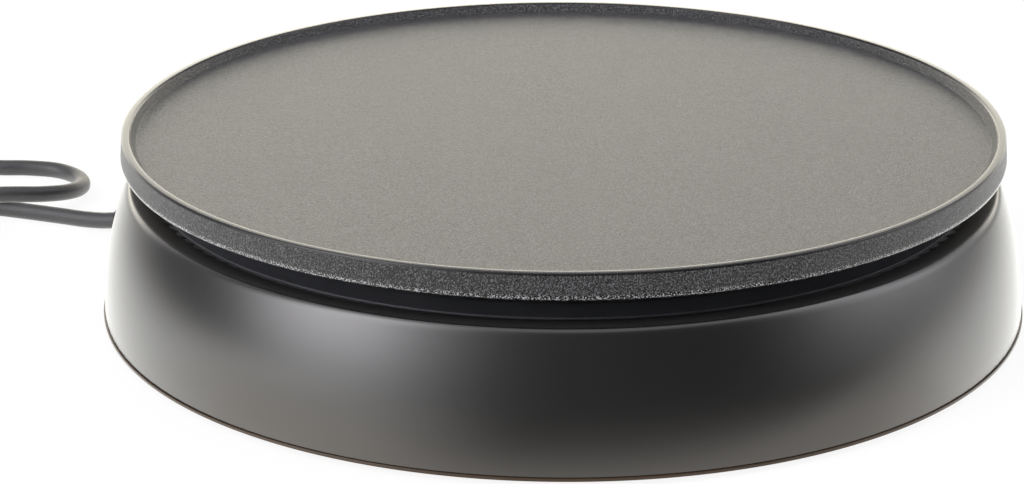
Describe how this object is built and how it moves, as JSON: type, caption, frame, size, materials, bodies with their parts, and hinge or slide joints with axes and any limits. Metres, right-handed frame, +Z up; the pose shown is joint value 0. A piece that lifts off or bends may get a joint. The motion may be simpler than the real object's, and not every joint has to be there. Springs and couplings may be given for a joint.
{
  "type": "electric crepe maker",
  "caption": "Round electric crepe maker: a shallow cast griddle plate held above a flared black base, with a rear control panel and a mains lead with plug.",
  "frame": {"origin": "on the table under the middle of the base, at the centre of the bottom of the bounding box without the mains lead", "axes": "+Z up, +Y towards the rear control panel with the knob, +X to the right seen from the front; the lead leaves at the left rear"},
  "size_m": [0.5093, 0.3496, 0.074],
  "materials": {
    "plate": "coated, satin",
    "base_plastic": "satin",
    "heat_shield": "dull",
    "element_sheath": "heat-darkened",
    "steel": "zinc-plated",
    "brass": "plain",
    "ceramic": "matte",
    "rubber": "matte",
    "knob_plastic": "satin",
    "marking": "printed",
    "lamp_lens": "clear red",
    "cord_jacket": "matte",
    "core_brown": "matte",
    "core_blue": "matte",
    "core_green": "matte",
    "pins": "nickel-plated"
  },
  "bodies": {
    "body": {"griddle_plate": "plate", "heating_element": "element_sheath", "element_terminals": "ceramic", "element_clips": "steel", "clip_screws": "steel", "plate_studs": "steel", "stud_spacers": "steel", "stud_nuts": "steel", "heat_shield": "heat_shield", "shield_screws": "steel", "base_shell": "base_plastic", "bottom_cover": "base_plastic", "cover_screws": "steel", "rubber_feet": "rubber", "thermostat_body": "steel", "thermostat_screws": "steel", "sensor_bulb": "brass", "capillary_tube": "brass", "sensor_strap": "steel", "thermal_cutout": "ceramic", "cutout_strap": "steel", "lamp_lens": "lamp_lens", "lamp_holder": "ceramic", "terminal_block": "ceramic", "block_screws": "steel", "cord_clamp": "base_plastic", "clamp_screws": "steel", "strain_relief": "cord_jacket", "lead_inside": "cord_jacket", "live_wire": "core_brown", "neutral_wire": "core_blue", "earth_wire": "core_green", "earth_screw": "brass", "earth_tag": "brass", "cord_lead": "cord_jacket", "cord_coil": "cord_jacket", "cord_tail": "cord_jacket", "plug_body": "cord_jacket", "plug_pins": "pins"},
    "knob": {"control_knob": "knob_plastic", "knob_pointer": "marking", "thermostat_shaft": "brass"}
  },
  "joints": [
    {"name": "knob_turn", "type": "hinge", "parent": "body", "child": "knob", "pos_m": [0, 0.157, 0.025], "axis": [0, -1, 0], "range_deg": [0, 270]}
  ]
}
